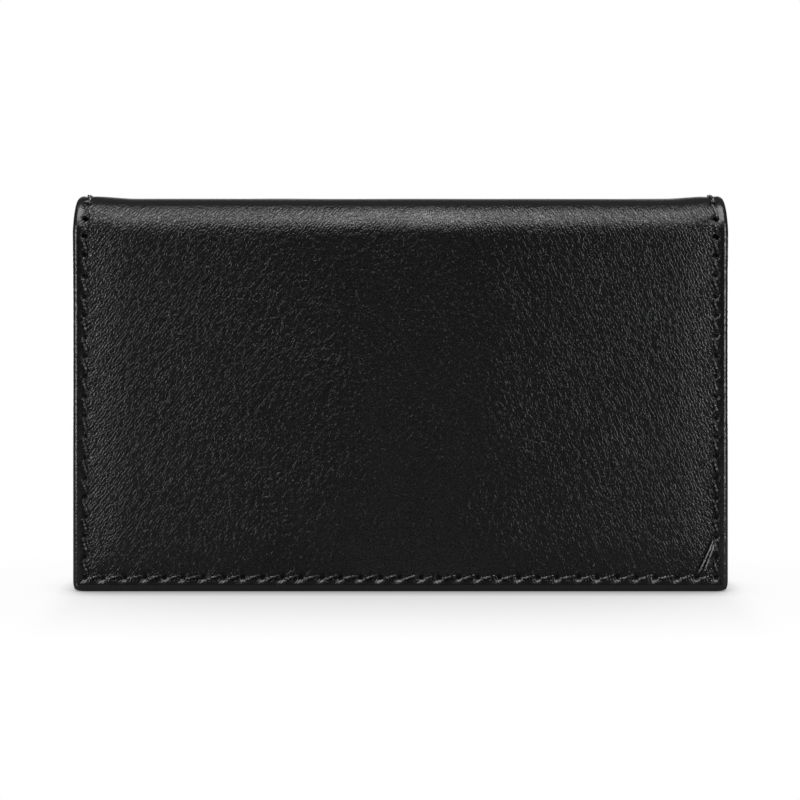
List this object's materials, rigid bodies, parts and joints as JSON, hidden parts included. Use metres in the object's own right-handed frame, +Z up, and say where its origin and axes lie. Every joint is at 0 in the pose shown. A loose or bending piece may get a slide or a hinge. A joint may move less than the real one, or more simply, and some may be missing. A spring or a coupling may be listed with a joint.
{
  "type": "document holder",
  "caption": "Small top-fold leather document holder with stitched turned edges, a clear window pocket in one cover and stepped card pockets in the other.",
  "frame": {"origin": "centre of the shut holder's footprint on the surface that it stands on", "axes": "+X along the width, to the right seen from the front cover; +Y from the front cover to the back cover; +Z up from the lower rims to the fold"},
  "size_m": [0.11, 0.013, 0.0664],
  "materials": {
    "black_leather": "smooth fine-grained calf, semi-matt, with rounded turned edges",
    "pocket_leather": "thin smooth leather, matt",
    "lining_cloth": "fine twill, matt",
    "board": "bonded fibre board, raw",
    "thread": "twisted waxed thread",
    "clear_film": "clear flexible film, gloss"
  },
  "bodies": {
    "back_cover": {"back_leather": "black_leather", "back_board": "board", "back_lining": "lining_cloth", "rear_card_pocket": "pocket_leather", "middle_card_pocket": "pocket_leather", "near_card_pocket": "pocket_leather", "rear_pocket_thread": "thread", "middle_pocket_thread": "thread", "near_pocket_thread": "thread", "back_seam_thread": "thread", "back_inner_thread": "thread"},
    "fold": {"fold_leather": "black_leather", "fold_strip": "board", "fold_lining": "lining_cloth", "left_fold_thread": "thread", "right_fold_thread": "thread", "left_inner_fold_thread": "thread", "right_inner_fold_thread": "thread"},
    "front_cover": {"front_leather": "black_leather", "front_board": "board", "front_lining": "lining_cloth", "window_frame": "pocket_leather", "window_film": "clear_film", "window_thread": "thread", "front_seam_thread": "thread", "corner_stitch": "thread", "front_inner_thread": "thread"}
  },
  "joints": [
    {"name": "back_fold_line", "type": "hinge", "parent": "back_cover", "child": "fold", "pos_m": [0, 0.00514, 0.0646], "axis": [-1, 0, 0], "range_deg": [0, 90]},
    {"name": "front_fold_line", "type": "hinge", "parent": "fold", "child": "front_cover", "pos_m": [0, -0.00514, 0.0646], "axis": [-1, 0, 0], "range_deg": [0, 90]}
  ],
  "couplings": [
    {"joint": "front_fold_line", "follows": "back_fold_line", "ratio": 1}
  ]
}
